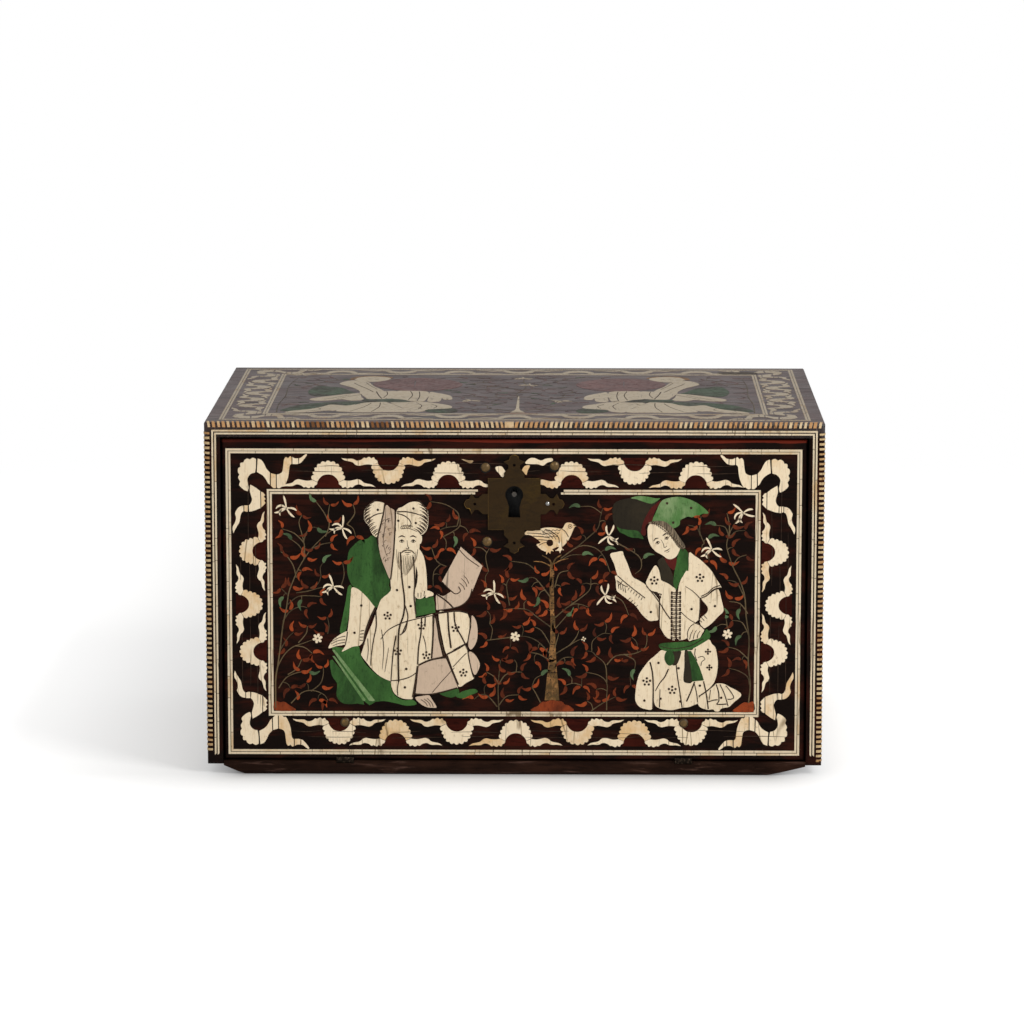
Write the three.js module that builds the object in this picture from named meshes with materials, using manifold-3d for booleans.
// A small inlaid table cabinet: a wooden case with a fall front, a lock and six drawers.
// Millimetres, +Z up. The origin is under the middle of the cabinet, and its front faces -Y.

import * as THREE from "three";
import { mergeVertices } from "three/addons/utils/BufferGeometryUtils.js";
import Module from "manifold-3d";

const wasm = await Module();
wasm.setup();

// Overall size.
const WIDTH = 400;
const DEPTH = 270;
const HEIGHT = 232;

// Boards of the case.
const TOP_THICK = 10;
const SIDE_THICK = 10.5;
const BACK_THICK = 8;
const BASE_THICK = 9;
const BOTTOM_THICK = 12;
const SHELF_THICK = 6;
const DIVIDER_THICK = 6;
const SIDE_LIFT = 6; // the side boards end this far above the table
const HOUSING_DEPTH = 2; // how far shelves and dividers are let into the boards that hold them
const BACK_REBATE = 4; // how far the back board is let into each side board
const WOOD_GAP = 0.3; // between fitted wooden pieces
const ARRIS_ROUND = 3; // rounded outer edges that carry the striped strip
const WORN_ROUND = 1.5; // the top's side and back edges
const FOOT_ROUND = 6; // rounded lower front corner of each side board
const BASE_INSET = 1; // the base slab's front edge behind the case's front
const LEFT_CANT = 14; // sloped ends under the base slab, the right one worn longer
const RIGHT_CANT = 25;
const BASE_CHAMFER = 2;

// Fall front.
const PANEL_THICK = 11;
const PANEL_RECESS = 2.2; // its face behind the case's front
const PANEL_SIDE_GAP = 1;
const PANEL_TOP_GAP = 1.4;
const PANEL_BOTTOM_GAP = 1;
const PANEL_ROUND = 1.5;
const STOP_GAP = 0.4; // from the closed panel to the shelf edges that it shuts against

// Drawer bays and drawers.
const LONG_BAY_HEIGHT = 64;
const CENTRE_BAY_WIDTH = 122;
const DRAWER_RECESS = 11.3; // drawer fronts behind the closed panel, which leaves room for the knobs
const DRAWER_BACK_GAP = 1.5;
const DRAWER_SIDE_GAP = 0.6;
const DRAWER_TOP_GAP = 0.8;
const DRAWER_FLOOR_GAP = 0.3;
const FRONT_THICK = 8;
const FRONT_REBATE = 4;
const WALL_THICK = 5;
const WALL_DROP = 4; // drawer walls are this much lower than the drawer front
const FLOOR_THICK = 3;
const KNOB_REACH = 10;
const KNOB_RADIUS = 4.6;
const KNOB_NECK_RADIUS = 1.9;
const ROSE_RADIUS = 5.4;
const ROSE_EDGE = 0.5;
const ROSE_RISE = 0.6;
const ROSE_SLOPE = 1.5;
const SHANK_RADIUS = 1.6;
const SHANK_GAP = 0.3;
const SHANK_END = 1; // behind the drawer front

// Hinges: three knuckles round a pin, on straps let into the base slab and the fall front.
const HINGE_SPREAD = 220;
const HINGE_LENGTH = 11;
const KNUCKLE_RADIUS = 2;
const KNUCKLE_GAP = 0.4;
const PIN_RADIUS = 0.8;
const PIN_GAP = 0.3;
const AXIS_LIFT = 0.5; // hinge axis above the base slab
const STRAP_THICK = 0.8;
const BASE_STRAP_LENGTH = 24;
const PANEL_STRAP_HEIGHT = 33;
const STRAP_GAP = 0.3;
const STRAP_DROP = 0.1; // the upper strap's foot below the axis
const RIVET_HEIGHT = 24.5; // above the fall front's lower edge
const RIVET_RADIUS = 1.2;
const RIVET_HEAD_RADIUS = 3.2;
const RIVET_HEAD_DOME = 1.3;
const CLENCH_RADIUS = 2.2;
const CLENCH_THICK = 0.5;

// Lock on the fall front.
const KEYHOLE_DROP = 36; // its round end below the fall front's top edge
const KEYHOLE_RADIUS = 5.8;
const KEYHOLE_WAIST = 6.8;
const KEYHOLE_FOOT = 7.8;
const KEYHOLE_WAIST_DROP = 8;
const KEYHOLE_LENGTH = 14.7; // from the round end's middle to the foot
const KEYHOLE_EASE = 0.4; // the wood's keyhole is this much wider than the plate's
const ESCUTCHEON_SIDE = 34;
const ESCUTCHEON_THICK = 1;
const ESCUTCHEON_DROP = 6; // the plate's middle below the keyhole's round end
const LOBE_BASE = 6.6; // half widths of a lobe at its foot, neck, cusps and tip
const LOBE_NECK = 3.8;
const LOBE_CUSP = 6.9;
const LOBE_TIP = 3.3;
const LOBE_SIDE = 2.8;
const LOBE_STEP = 3.2; // lengths of a lobe's foot, slope, neck, cusps and tip
const LOBE_SLOPE = 3;
const LOBE_WAIST = 2.2;
const LOBE_FLARE = 2.2;
const LOBE_SHOULDER = 1.5; // along the tip, where it is broadest
const LOBE_ROUND = 3.5; // along the tip, where it starts to close
const LOBE_POINT = 5;
const LOBE_NAIL_RADIUS = 1;
const LOCK_WIDTH = 52;
const LOCK_HEIGHT = 70;
const LOCK_PLATE_THICK = 1;
const LOCK_CASE_WIDTH = 32;
const LOCK_CASE_HEIGHT = 52;
const LOCK_CASE_TOP_DROP = 7;
const LOCK_CASE_DEPTH = 6.4;
const LOCK_WALL = 1;
const LOCK_SEAT_GAP = 0.3;
const DRILL_PIN_RADIUS = 1.6;
const DRILL_PIN_LENGTH = 8.6;
const BOLT_WIDTH = 14;
const BOLT_THICK = 3;
const BOLT_LENGTH = 26;
const BOLT_GAP = 0.3;
const BOLT_TRAVEL = 6;
const BOLT_SINK = 0.2; // its end below the panel's top edge when drawn back
const TALON_RADIUS = 3;
const STRIKE_LENGTH = 30;
const STRIKE_BREADTH = 9;
const STRIKE_THICK = 1;
const STRIKE_GAP = 0.5;

// Faces that pieces share, worked out from the sizes above.
const caseFront = -DEPTH / 2;
const caseBack = DEPTH / 2;
const innerHalf = WIDTH / 2 - SIDE_THICK;
const topUnder = HEIGHT - TOP_THICK;
const backFace = caseBack - BACK_THICK;
const bottomTop = BASE_THICK + BOTTOM_THICK;
const panelFront = caseFront + PANEL_RECESS;
const panelBack = panelFront + PANEL_THICK;
const panelBottom = BASE_THICK + PANEL_BOTTOM_GAP;
const panelTop = topUnder - PANEL_TOP_GAP;
const panelHalf = innerHalf - PANEL_SIDE_GAP;
const shelfFront = panelBack + STOP_GAP;
const shelfUnder = bottomTop + LONG_BAY_HEIGHT;
const shelfTop = shelfUnder + SHELF_THICK;
const halfShelfUnder = (shelfTop + topUnder - SHELF_THICK) / 2;
const halfShelfTop = halfShelfUnder + SHELF_THICK;
const dividerInner = CENTRE_BAY_WIDTH / 2;
const dividerOuter = dividerInner + DIVIDER_THICK;
const drawerFront = panelBack + DRAWER_RECESS;
const drawerLength = backFace - DRAWER_BACK_GAP - drawerFront;
const axisHeight = BASE_THICK + AXIS_LIFT;
const keyholeHeight = panelTop - KEYHOLE_DROP;

// Colours and finishes.
const finish = (color, roughness, metalness = 0) =>
  new THREE.MeshStandardMaterial({ color, roughness, metalness });
const rosewood = finish(0x34190f, 0.45);
const wornWood = finish(0x4a2c18, 0.7);
const drawerWood = finish(0x7a4f2c, 0.65);
const brass = finish(0x8a6a35, 0.45, 0.9);
const iron = finish(0x4a443e, 0.6, 0.8);

// A closed three.js geometry as a solid that can be joined and cut.
function solid(geometry) {
  const bare = geometry.clone();
  bare.deleteAttribute("normal");
  bare.deleteAttribute("uv");
  const merged = mergeVertices(bare, 1e-4);
  return new wasm.Manifold(
    new wasm.Mesh({
      numProp: 3,
      vertProperties: merged.attributes.position.array,
      triVerts: new Uint32Array(merged.index.array),
    }),
  );
}

// A box between two corners.
function block([x0, x1], [y0, y1], [z0, z1]) {
  const box = new THREE.BoxGeometry(x1 - x0, y1 - y0, z1 - z0);
  return solid(box.translate((x0 + x1) / 2, (y0 + y1) / 2, (z0 + z1) / 2));
}

// A cylinder on an axis through a point, from start to end along that axis.
function rod(axis, radius, start, end, [x, y, z], sides = 24) {
  const turned = new THREE.CylinderGeometry(radius, radius, end - start, sides);
  turned.translate(0, (start + end) / 2, 0);
  if (axis === "x") turned.rotateZ(-Math.PI / 2);
  return solid(turned.translate(x, y, z));
}

// A rectangle between two corners with its own radius at each corner, from the lower left round.
function roundedProfile([a0, a1], [b0, b1], [lowLeft, lowRight, highRight, highLeft]) {
  const shape = new THREE.Shape();
  const quarter = Math.PI / 2;
  shape.moveTo(a0 + lowLeft, b0);
  shape.lineTo(a1 - lowRight, b0);
  if (lowRight) shape.absarc(a1 - lowRight, b0 + lowRight, lowRight, -quarter, 0);
  shape.lineTo(a1, b1 - highRight);
  if (highRight) shape.absarc(a1 - highRight, b1 - highRight, highRight, 0, quarter);
  shape.lineTo(a0 + highLeft, b1);
  if (highLeft) shape.absarc(a0 + highLeft, b1 - highLeft, highLeft, quarter, 2 * quarter);
  shape.lineTo(a0, b0 + lowLeft);
  if (lowLeft) shape.absarc(a0 + lowLeft, b0 + lowLeft, lowLeft, 2 * quarter, 3 * quarter);
  return shape;
}

// Extrudes a profile drawn in the plane square to an axis: y,z for x; z,x for y; x,y for z.
function extrude(axis, profile, [start, end], curveSegments = 5) {
  const shape = new THREE.ExtrudeGeometry(profile, {
    depth: end - start,
    bevelEnabled: false,
    curveSegments,
  });
  shape.translate(0, 0, start);
  const X = new THREE.Vector3(1, 0, 0);
  const Y = new THREE.Vector3(0, 1, 0);
  const Z = new THREE.Vector3(0, 0, 1);
  if (axis === "x") shape.applyMatrix4(new THREE.Matrix4().makeBasis(Y, Z, X));
  if (axis === "y") shape.applyMatrix4(new THREE.Matrix4().makeBasis(Z, X, Y));
  return solid(shape);
}

// A named mesh of a solid, placed by its own origin in the group that it joins.
function piece(group, name, shape, origin, material) {
  const data = shape.getMesh();
  const geometry = new THREE.BufferGeometry();
  const flat = new Float32Array(data.numVert * 3);
  for (let i = 0; i < data.numVert; i++)
    flat.set(data.vertProperties.subarray(i * data.numProp, i * data.numProp + 3), i * 3);
  geometry.setAttribute("position", new THREE.BufferAttribute(flat, 3));
  geometry.setIndex(new THREE.BufferAttribute(data.triVerts, 1));
  geometry.translate(-origin[0], -origin[1], -origin[2]);
  const faceted = geometry.toNonIndexed();
  faceted.computeVertexNormals();
  const mesh = new THREE.Mesh(faceted, material);
  mesh.name = name;
  mesh.position.set(...origin);
  group.add(mesh);
  return mesh;
}

// The keyhole's outline, widened by an ease, about the middle of its round end. It is drawn in z, x.
function keyholeProfile(ease) {
  const shape = new THREE.Shape();
  const round = KEYHOLE_RADIUS + ease;
  const waist = KEYHOLE_WAIST / 2 + ease;
  const foot = KEYHOLE_FOOT / 2 + ease;
  const opening = Math.acos(Math.min(1, waist / round));
  shape.moveTo(-KEYHOLE_LENGTH - ease, -foot);
  shape.lineTo(-KEYHOLE_WAIST_DROP, -waist);
  shape.absarc(0, 0, round, -Math.PI + opening, Math.PI - opening);
  shape.lineTo(-KEYHOLE_WAIST_DROP, waist);
  shape.lineTo(-KEYHOLE_LENGTH - ease, foot);
  return shape;
}

// The space round a hinge's knuckles that neither wood nor the other strap may enter.
function knuckleSpace(x, length) {
  return rod("x", KNUCKLE_RADIUS + KNUCKLE_GAP, -length / 2, length / 2, [
    x,
    panelFront,
    axisHeight,
  ]);
}

// Where the hinges stand.
const hinges = [
  ["left", -HINGE_SPREAD / 2],
  ["right", HINGE_SPREAD / 2],
];

// Case: a top over two sides, a back, a slab to stand on, and a bottom with shelves and dividers.
function caseTop(group) {
  const plan = roundedProfile(
    [-WIDTH / 2, WIDTH / 2],
    [caseFront, caseBack],
    [ARRIS_ROUND, ARRIS_ROUND, ARRIS_ROUND, ARRIS_ROUND],
  );
  const section = roundedProfile([caseFront, caseBack], [topUnder, HEIGHT], [
    0,
    0,
    WORN_ROUND,
    ARRIS_ROUND,
  ]);
  // drawn in z, x
  const across = roundedProfile([topUnder, HEIGHT], [-WIDTH / 2, WIDTH / 2], [
    0,
    WORN_ROUND,
    WORN_ROUND,
    0,
  ]);
  const bolt = boltPlace();
  const board = extrude("z", plan, [topUnder, HEIGHT])
    .intersect(extrude("x", section, [-WIDTH / 2, WIDTH / 2]))
    .intersect(extrude("y", across, [caseFront, caseBack], 3))
    .subtract(dividerHousing(-1, topUnder - 1, topUnder + HOUSING_DEPTH + WOOD_GAP))
    .subtract(dividerHousing(1, topUnder - 1, topUnder + HOUSING_DEPTH + WOOD_GAP))
    .subtract(strikeRecess(STRIKE_GAP))
    .subtract(
      block(
        [-BOLT_WIDTH / 2 - STRIKE_GAP, BOLT_WIDTH / 2 + STRIKE_GAP],
        [bolt.front - STRIKE_GAP, bolt.back + STRIKE_GAP],
        [topUnder - 1, topUnder + BOLT_TRAVEL],
      ),
    );
  piece(group, "top_board", board, [0, 0, topUnder], rosewood);
}

function caseSide(group, name, side) {
  const outer = (side * WIDTH) / 2;
  const inner = side * innerHalf;
  const span = side < 0 ? [outer, inner] : [inner, outer];
  const plan = roundedProfile(span, [caseFront, caseBack], [
    side < 0 ? ARRIS_ROUND : 0,
    side < 0 ? 0 : ARRIS_ROUND,
    0,
    0,
  ]);
  const section = roundedProfile([caseFront, caseBack], [SIDE_LIFT, topUnder], [
    FOOT_ROUND,
    0,
    0,
    0,
  ]);
  const housing = (low, high) =>
    block(
      [inner - HOUSING_DEPTH - WOOD_GAP, inner + HOUSING_DEPTH + WOOD_GAP],
      [shelfFront, backFace + 1],
      [low, high + WOOD_GAP],
    );
  const rebate = block(
    [inner - BACK_REBATE, inner + BACK_REBATE],
    [backFace - WOOD_GAP, caseBack + 1],
    [SIDE_LIFT - 1, topUnder + 1],
  );
  const board = extrude("z", plan, [SIDE_LIFT, topUnder])
    .intersect(extrude("x", section, span))
    .subtract(housing(BASE_THICK, bottomTop))
    .subtract(housing(shelfUnder, shelfTop))
    .subtract(housing(halfShelfUnder, halfShelfTop))
    .subtract(rebate);
  piece(group, name, board, [inner, 0, SIDE_LIFT], rosewood);
}

// The groove for one divider, between two heights.
function dividerHousing(side, low, high) {
  const span = [side * dividerInner, side * dividerOuter].sort((a, b) => a - b);
  return block(
    [span[0] - WOOD_GAP, span[1] + WOOD_GAP],
    [shelfFront, backFace + 1],
    [low, high],
  );
}

function caseBoards(group) {
  caseTop(group);
  caseSide(group, "left_side", -1);
  caseSide(group, "right_side", 1);

  const backHalf = innerHalf + BACK_REBATE - WOOD_GAP;
  const back = block([-backHalf, backHalf], [backFace, caseBack], [SIDE_LIFT, topUnder]);
  piece(group, "back_board", back, [0, backFace, SIDE_LIFT], wornWood);

  const slabHalf = innerHalf - WOOD_GAP;
  const slabFront = caseFront + BASE_INSET;
  const slabBack = backFace - WOOD_GAP;
  // drawn in z, x: sloped ends that rise to the feet of the side boards
  const sloped = new THREE.Shape();
  sloped.moveTo(0, -slabHalf + LEFT_CANT);
  sloped.lineTo(SIDE_LIFT, -slabHalf);
  sloped.lineTo(BASE_THICK, -slabHalf);
  sloped.lineTo(BASE_THICK, slabHalf);
  sloped.lineTo(SIDE_LIFT, slabHalf);
  sloped.lineTo(0, slabHalf - RIGHT_CANT);
  const eased = new THREE.Shape();
  eased.moveTo(slabFront + BASE_CHAMFER, 0);
  eased.lineTo(slabBack, 0);
  eased.lineTo(slabBack, BASE_THICK);
  eased.lineTo(slabFront, BASE_THICK);
  eased.lineTo(slabFront, BASE_CHAMFER);
  let slab = extrude("y", sloped, [slabFront, slabBack]).intersect(
    extrude("x", eased, [-slabHalf, slabHalf]),
  );
  for (const [, x] of hinges) {
    slab = slab.subtract(knuckleSpace(x, HINGE_LENGTH + 2 * STRAP_GAP));
    slab = slab.subtract(baseStrap(x, STRAP_GAP));
  }
  piece(group, "base_slab", slab, [0, 0, 0], wornWood);

  const letIn = innerHalf + HOUSING_DEPTH;
  const bottom = block([-letIn, letIn], [shelfFront, backFace], [BASE_THICK, bottomTop]);
  piece(group, "bottom_board", bottom, [0, 0, BASE_THICK], rosewood);

  const shelf = block([-letIn, letIn], [shelfFront, backFace], [shelfUnder, shelfTop])
    .subtract(dividerHousing(-1, shelfTop - HOUSING_DEPTH, shelfTop + 1))
    .subtract(dividerHousing(1, shelfTop - HOUSING_DEPTH, shelfTop + 1));
  piece(group, "long_shelf", shelf, [0, 0, shelfUnder], rosewood);

  for (const [name, side] of [
    ["left", -1],
    ["right", 1],
  ]) {
    const span = [side * dividerInner, side * dividerOuter].sort((a, b) => a - b);
    const outer = side * dividerOuter;
    const divider = block(
      span,
      [shelfFront, backFace],
      [shelfTop - HOUSING_DEPTH, topUnder + HOUSING_DEPTH],
    ).subtract(
      block(
        [outer - HOUSING_DEPTH - WOOD_GAP, outer + HOUSING_DEPTH + WOOD_GAP],
        [shelfFront - 1, backFace + 1],
        [halfShelfUnder, halfShelfTop + WOOD_GAP],
      ),
    );
    piece(group, `${name}_divider`, divider, [outer, 0, shelfTop], rosewood);

    const ends = [side * (dividerOuter - HOUSING_DEPTH), side * letIn].sort((a, b) => a - b);
    const half = block(ends, [shelfFront, backFace], [halfShelfUnder, halfShelfTop]);
    piece(group, `${name}_half_shelf`, half, [side * letIn, 0, halfShelfUnder], rosewood);
  }
}

// Hinges. The lower strap lies in the base slab, the upper one under the panel and up its back.
function baseStrap(x, gap) {
  return block(
    [x - HINGE_LENGTH / 2 - gap, x + HINGE_LENGTH / 2 + gap],
    [panelFront, panelFront + BASE_STRAP_LENGTH + gap],
    [BASE_THICK - STRAP_THICK, BASE_THICK + gap],
  );
}

function panelStrap(x, gap) {
  const span = [x - HINGE_LENGTH / 2 - gap, x + HINGE_LENGTH / 2 + gap];
  const under = axisHeight - STRAP_DROP;
  return block(span, [panelFront, panelBack], [under - gap, under + STRAP_THICK]).add(
    block(
      span,
      [panelBack - STRAP_THICK, panelBack + gap],
      [under - gap, panelBottom + PANEL_STRAP_HEIGHT + gap],
    ),
  );
}

function knuckle(x, length) {
  const at = [x, panelFront, axisHeight];
  return rod("x", KNUCKLE_RADIUS, -length / 2, length / 2, at);
}

function pinBore(x) {
  return rod("x", PIN_RADIUS + PIN_GAP, -HINGE_LENGTH, HINGE_LENGTH, [
    x,
    panelFront,
    axisHeight,
  ]);
}

function hinge(fixed, moving, name, x) {
  const share = HINGE_LENGTH / 3;
  const end = (HINGE_LENGTH - share) / 2;
  const room = share + KNUCKLE_GAP;
  const outer = knuckle(x - end, share).add(knuckle(x + end, share));
  const baseLeaf = baseStrap(x, 0)
    .subtract(knuckleSpace(x, room))
    .add(outer)
    .subtract(pinBore(x));
  piece(fixed, `${name}_base_strap`, baseLeaf, [x, panelFront, axisHeight], iron);

  const panelLeaf = panelStrap(x, 0)
    .subtract(knuckleSpace(x - end - KNUCKLE_GAP / 2, room + KNUCKLE_GAP))
    .subtract(knuckleSpace(x + end + KNUCKLE_GAP / 2, room + KNUCKLE_GAP))
    .add(knuckle(x, share - KNUCKLE_GAP))
    .subtract(pinBore(x))
    .subtract(rivetBore(x, STRAP_GAP));
  piece(moving, `${name}_panel_strap`, panelLeaf, [x, panelFront, axisHeight], iron);

  const pin = rod("x", PIN_RADIUS, -HINGE_LENGTH / 2, HINGE_LENGTH / 2, [
    x,
    panelFront,
    axisHeight,
  ]);
  piece(fixed, `${name}_hinge_pin`, pin, [x, panelFront, axisHeight], iron);
}

function rivetBore(x, gap) {
  const height = panelBottom + RIVET_HEIGHT;
  return rod("y", RIVET_RADIUS + gap, -1, PANEL_THICK + 1, [x, panelFront, height], 12);
}

// A domed rivet through the panel and its strap, clenched behind.
function rivet(group, name, x) {
  const height = panelBottom + RIVET_HEIGHT;
  const domeSteps = 4;
  const outline = [new THREE.Vector2(0, -RIVET_HEAD_DOME)];
  for (let i = 1; i <= domeSteps; i++) {
    const turn = ((Math.PI / 2) * i) / domeSteps;
    outline.push(
      new THREE.Vector2(RIVET_HEAD_RADIUS * Math.sin(turn), -RIVET_HEAD_DOME * Math.cos(turn)),
    );
  }
  outline.push(
    new THREE.Vector2(RIVET_RADIUS, 0),
    new THREE.Vector2(RIVET_RADIUS, PANEL_THICK),
    new THREE.Vector2(CLENCH_RADIUS, PANEL_THICK),
    new THREE.Vector2(CLENCH_RADIUS, PANEL_THICK + CLENCH_THICK),
    new THREE.Vector2(0, PANEL_THICK + CLENCH_THICK),
  );
  const turned = solid(new THREE.LatheGeometry(outline, 16).translate(x, panelFront, height));
  piece(group, name, turned, [x, panelFront, height], brass);
}

// Lock: a plate let into the panel's back, with a case, a fixed pin for the key and a bolt.
function boltPlace() {
  const front = panelBack - LOCK_PLATE_THICK - LOCK_CASE_DEPTH / 2 - BOLT_THICK / 2;
  const top = panelTop - BOLT_SINK;
  return { front, back: front + BOLT_THICK, top, foot: top - BOLT_LENGTH };
}

function boltSpace(gap, low, high) {
  const bolt = boltPlace();
  return block(
    [-BOLT_WIDTH / 2 - gap, BOLT_WIDTH / 2 + gap],
    [bolt.front - gap, bolt.back + gap],
    [low, high],
  );
}

// The lock's outer form. With a gap it is the seat that is cut for it.
function lockForm(gap) {
  const caseFace = panelBack - LOCK_PLATE_THICK - LOCK_CASE_DEPTH;
  const caseTopHeight = panelTop - LOCK_CASE_TOP_DROP;
  const plate = block(
    [-LOCK_WIDTH / 2 - gap, LOCK_WIDTH / 2 + gap],
    [panelBack - LOCK_PLATE_THICK, panelBack + gap],
    [panelTop - LOCK_HEIGHT - gap, panelTop + gap],
  );
  const lip = block(
    [-LOCK_CASE_WIDTH / 2 - gap, LOCK_CASE_WIDTH / 2 + gap],
    [caseFace - gap, panelBack],
    [panelTop - LOCK_WALL, panelTop + gap],
  );
  const box = block(
    [-LOCK_CASE_WIDTH / 2 - gap, LOCK_CASE_WIDTH / 2 + gap],
    [caseFace - gap, panelBack],
    [caseTopHeight - LOCK_CASE_HEIGHT - gap, caseTopHeight + gap],
  );
  return { plate, lip, box, caseFace, caseTopHeight };
}

function lock(group, boltGroup) {
  const { plate, lip, box, caseFace, caseTopHeight } = lockForm(0);
  const bolt = boltPlace();
  const inside = block(
    [-LOCK_CASE_WIDTH / 2 + LOCK_WALL, LOCK_CASE_WIDTH / 2 - LOCK_WALL],
    [caseFace - 1, panelBack - LOCK_PLATE_THICK],
    [caseTopHeight - LOCK_CASE_HEIGHT + LOCK_WALL, caseTopHeight - LOCK_WALL],
  );
  const drillPin = rod(
    "y",
    DRILL_PIN_RADIUS,
    -DRILL_PIN_LENGTH,
    0,
    [0, panelBack - LOCK_PLATE_THICK, keyholeHeight],
    16,
  );
  const lockCase = box
    .subtract(inside)
    .add(plate)
    .add(lip)
    .add(drillPin)
    .subtract(boltSpace(BOLT_GAP, caseTopHeight - 2 * LOCK_WALL, panelTop + 1));
  piece(group, "lock_case", lockCase, [0, panelBack, keyholeHeight], iron);

  const talon = rod(
    "y",
    TALON_RADIUS,
    -BOLT_THICK,
    2 * BOLT_THICK,
    [0, bolt.front, bolt.foot],
    16,
  );
  const sliding = boltSpace(0, bolt.foot, bolt.top).subtract(talon);
  piece(boltGroup, "lock_bolt", sliding, [0, bolt.front, bolt.foot], iron);
}

function strikeRecess(gap) {
  const middle = (boltPlace().front + boltPlace().back) / 2;
  return block(
    [-STRIKE_LENGTH / 2 - gap, STRIKE_LENGTH / 2 + gap],
    [middle - STRIKE_BREADTH / 2 - gap, middle + STRIKE_BREADTH / 2 + gap],
    [topUnder - gap, topUnder + STRIKE_THICK],
  );
}

function strike(group) {
  const plate = strikeRecess(0).subtract(boltSpace(STRIKE_GAP, topUnder - 1, HEIGHT));
  const middle = (boltPlace().front + boltPlace().back) / 2;
  piece(group, "strike_plate", plate, [0, middle, topUnder], brass);
}

// The escutcheon: a square plate with a cusped lobe on each side, and a nail hole in each lobe.
function escutcheon(group) {
  const half = ESCUTCHEON_SIDE / 2;
  const neckStart = LOBE_STEP + LOBE_SLOPE;
  const neckEnd = neckStart + LOBE_WAIST;
  const cuspReach = neckEnd + LOBE_FLARE;
  // one lobe, from the plate's edge outwards: reach, half width
  const lobe = [
    [0, LOBE_BASE],
    [LOBE_STEP, LOBE_BASE],
    [neckStart, LOBE_NECK],
    [neckEnd, LOBE_NECK],
    [cuspReach, LOBE_CUSP],
    [cuspReach + LOBE_SHOULDER, LOBE_TIP],
    [cuspReach + LOBE_ROUND, LOBE_SIDE],
    [cuspReach + LOBE_POINT, 0],
  ];
  const outline = new THREE.Shape();
  const corners = [];
  for (let quarter = 0; quarter < 4; quarter++) {
    const turn = (Math.PI / 2) * quarter;
    const across = [
      [half, -half],
      ...lobe.map(([reach, spread]) => [half + reach, -spread]),
      ...lobe.slice(0, -1).reverse().map(([reach, spread]) => [half + reach, spread]),
    ];
    for (const [a, b] of across) {
      corners.push([
        a * Math.cos(turn) - b * Math.sin(turn),
        a * Math.sin(turn) + b * Math.cos(turn),
      ]);
    }
  }
  outline.setFromPoints(corners.map(([a, b]) => new THREE.Vector2(a, b)));
  const middle = keyholeHeight - ESCUTCHEON_DROP;
  const faces = [panelFront - ESCUTCHEON_THICK, panelFront];
  let plate = extrude("y", outline, faces).translate([0, 0, middle]);
  plate = plate.subtract(keyhole(0));
  for (let quarter = 0; quarter < 4; quarter++) {
    const turn = (Math.PI / 2) * quarter;
    const x = (half + neckEnd) * Math.cos(turn);
    const z = middle + (half + neckEnd) * Math.sin(turn);
    plate = plate.subtract(
      rod("y", LOBE_NAIL_RADIUS, -2 * ESCUTCHEON_THICK, ESCUTCHEON_THICK, [x, panelFront, z], 12),
    );
  }
  piece(group, "escutcheon", plate, [0, panelFront, middle], brass);
}

function keyhole(ease) {
  const cut = extrude("y", keyholeProfile(ease), [panelFront - 3, panelBack + 1], 10);
  return cut.translate([0, 0, keyholeHeight]);
}

// Fall front.
function fallFront(group) {
  const round = PANEL_ROUND;
  const plan = roundedProfile([-panelHalf, panelHalf], [panelFront, panelBack], [
    round,
    round,
    0,
    0,
  ]);
  const section = roundedProfile([panelFront, panelBack], [panelBottom, panelTop], [
    round,
    0,
    0,
    round,
  ]);
  const seat = lockForm(LOCK_SEAT_GAP);
  let panel = extrude("z", plan, [panelBottom, panelTop], 3)
    .intersect(extrude("x", section, [-panelHalf, panelHalf], 3))
    .subtract(keyhole(KEYHOLE_EASE))
    .subtract(seat.plate)
    .subtract(seat.lip)
    .subtract(seat.box)
    .subtract(boltSpace(BOLT_GAP + LOCK_SEAT_GAP, seat.caseTopHeight, panelTop + 1));
  for (const [, x] of hinges) {
    panel = panel
      .subtract(knuckleSpace(x, HINGE_LENGTH + 2 * STRAP_GAP))
      .subtract(panelStrap(x, STRAP_GAP))
      .subtract(rivetBore(x, STRAP_GAP));
  }
  piece(group, "front_panel", panel, [0, panelFront, panelBottom], rosewood);
}

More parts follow.
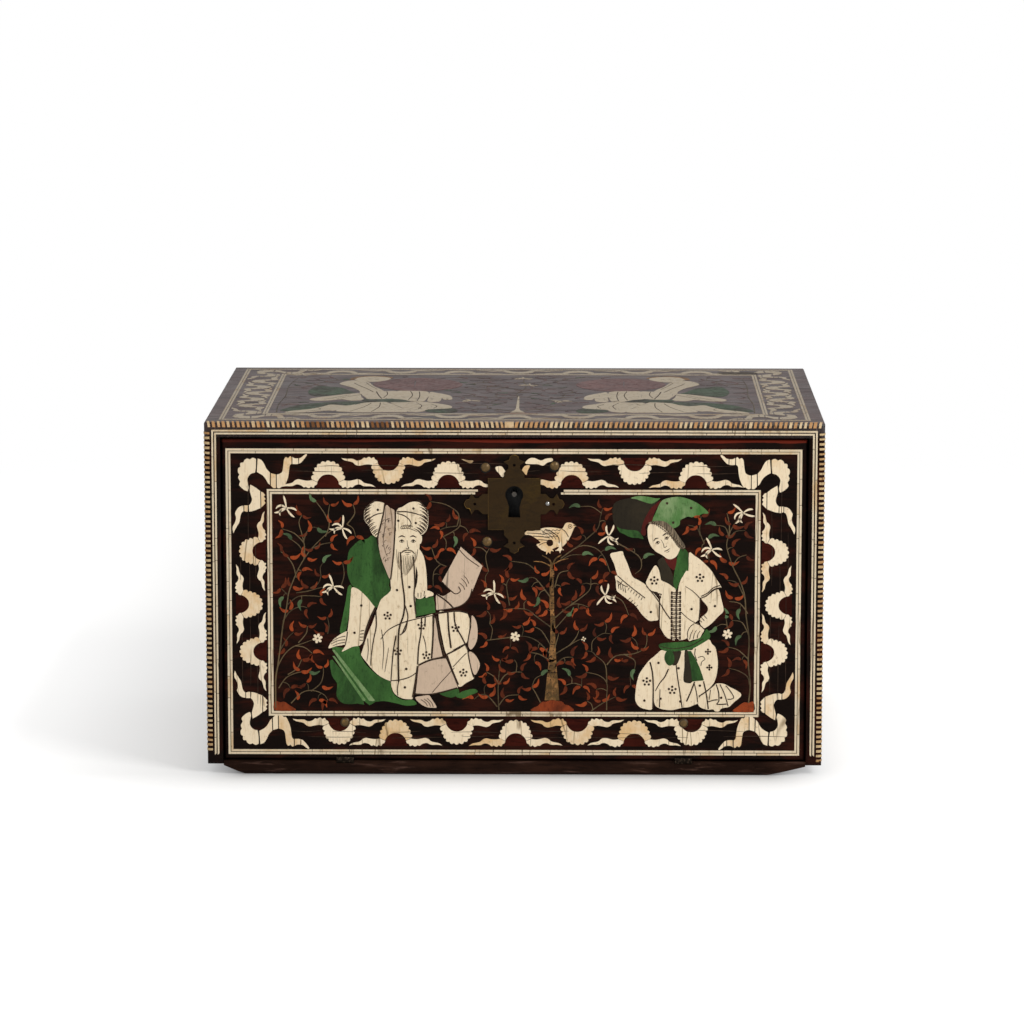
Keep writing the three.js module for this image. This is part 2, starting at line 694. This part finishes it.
// Drawers. Each stands in its own group, whose origin is the middle of the front's lower edge.
function drawer(name, [left, right], [low, high]) {
  const group = new THREE.Group();
  const width = right - left - 2 * DRAWER_SIDE_GAP;
  const height = high - low - DRAWER_FLOOR_GAP - DRAWER_TOP_GAP;
  const half = width / 2;
  const wallStart = FRONT_THICK - FRONT_REBATE;
  const wallTop = height - WALL_DROP;

  const shank = rod("y", SHANK_RADIUS + SHANK_GAP, -1, FRONT_THICK + 1, [0, 0, height / 2], 16);
  const front = block([-half, half], [0, FRONT_THICK], [0, height])
    .subtract(block([-half - 1, half + 1], [wallStart, FRONT_THICK + 1], [-1, FLOOR_THICK]))
    .subtract(block([-half - 1, WALL_THICK - half], [wallStart, FRONT_THICK + 1], [0, wallTop]))
    .subtract(block([half - WALL_THICK, half + 1], [wallStart, FRONT_THICK + 1], [0, wallTop]))
    .subtract(shank);
  piece(group, `${name}_front`, front, [0, 0, 0], rosewood);

  const walls = [FLOOR_THICK, wallTop];
  const run = [wallStart, drawerLength];
  const leftWall = block([-half, WALL_THICK - half], run, walls);
  const rightWall = block([half - WALL_THICK, half], run, walls);
  const rear = block(
    [WALL_THICK - half, half - WALL_THICK],
    [drawerLength - WALL_THICK, drawerLength],
    walls,
  );
  const floor = block([-half, half], run, [0, FLOOR_THICK]);
  piece(group, `${name}_left_wall`, leftWall, [-half, wallStart, FLOOR_THICK], drawerWood);
  piece(group, `${name}_right_wall`, rightWall, [half, wallStart, FLOOR_THICK], drawerWood);
  piece(group, `${name}_back`, rear, [0, drawerLength, FLOOR_THICK], drawerWood);
  piece(group, `${name}_floor`, floor, [0, wallStart, 0], drawerWood);
  knob(group, `${name}_knob`, height / 2);

  group.position.set((left + right) / 2, drawerFront, low + DRAWER_FLOOR_GAP);
  return group;
}

// A turned knob: a rose on the drawer front, a neck, a ball and a shank that goes through.
function knob(group, name, height) {
  const ballMiddle = KNOB_REACH - KNOB_RADIUS;
  const ballSteps = 7;
  const outline = [new THREE.Vector2(0, -KNOB_REACH)];
  const last = Math.PI - Math.asin(KNOB_NECK_RADIUS / KNOB_RADIUS);
  for (let i = 1; i <= ballSteps; i++) {
    const turn = (last * i) / ballSteps;
    outline.push(
      new THREE.Vector2(
        KNOB_RADIUS * Math.sin(turn),
        -ballMiddle - KNOB_RADIUS * Math.cos(turn),
      ),
    );
  }
  outline.push(
    new THREE.Vector2(ROSE_RADIUS - ROSE_SLOPE, -ROSE_EDGE - ROSE_RISE),
    new THREE.Vector2(ROSE_RADIUS, -ROSE_EDGE),
    new THREE.Vector2(ROSE_RADIUS, 0),
    new THREE.Vector2(SHANK_RADIUS, 0),
    new THREE.Vector2(SHANK_RADIUS, FRONT_THICK + SHANK_END),
    new THREE.Vector2(0, FRONT_THICK + SHANK_END),
  );
  const turned = solid(new THREE.LatheGeometry(outline, 20).translate(0, 0, height));
  piece(group, name, turned, [0, 0, height], brass);
}

// The whole cabinet.
const cabinet = new THREE.Group();
const carcase = new THREE.Group();
const panelGroup = new THREE.Group();
const boltGroup = new THREE.Group();
cabinet.add(carcase, panelGroup, boltGroup);

caseBoards(carcase);
strike(carcase);
fallFront(panelGroup);
escutcheon(panelGroup);
lock(panelGroup, boltGroup);
for (const [name, x] of hinges) {
  hinge(carcase, panelGroup, name, x);
  rivet(panelGroup, `${name}_rivet`, x);
}

const leftBay = [-innerHalf, -dividerOuter];
const centreBay = [-dividerInner, dividerInner];
const rightBay = [dividerOuter, innerHalf];
const lowerHeights = [shelfTop, halfShelfUnder];
const upperHeights = [halfShelfTop, topUnder];
cabinet.add(
  drawer("long_drawer", [-innerHalf, innerHalf], [bottomTop, shelfUnder]),
  drawer("centre_drawer", centreBay, [shelfTop, topUnder]),
  drawer("lower_left_drawer", leftBay, lowerHeights),
  drawer("lower_right_drawer", rightBay, lowerHeights),
  drawer("upper_left_drawer", leftBay, upperHeights),
  drawer("upper_right_drawer", rightBay, upperHeights),
);

export default cabinet;
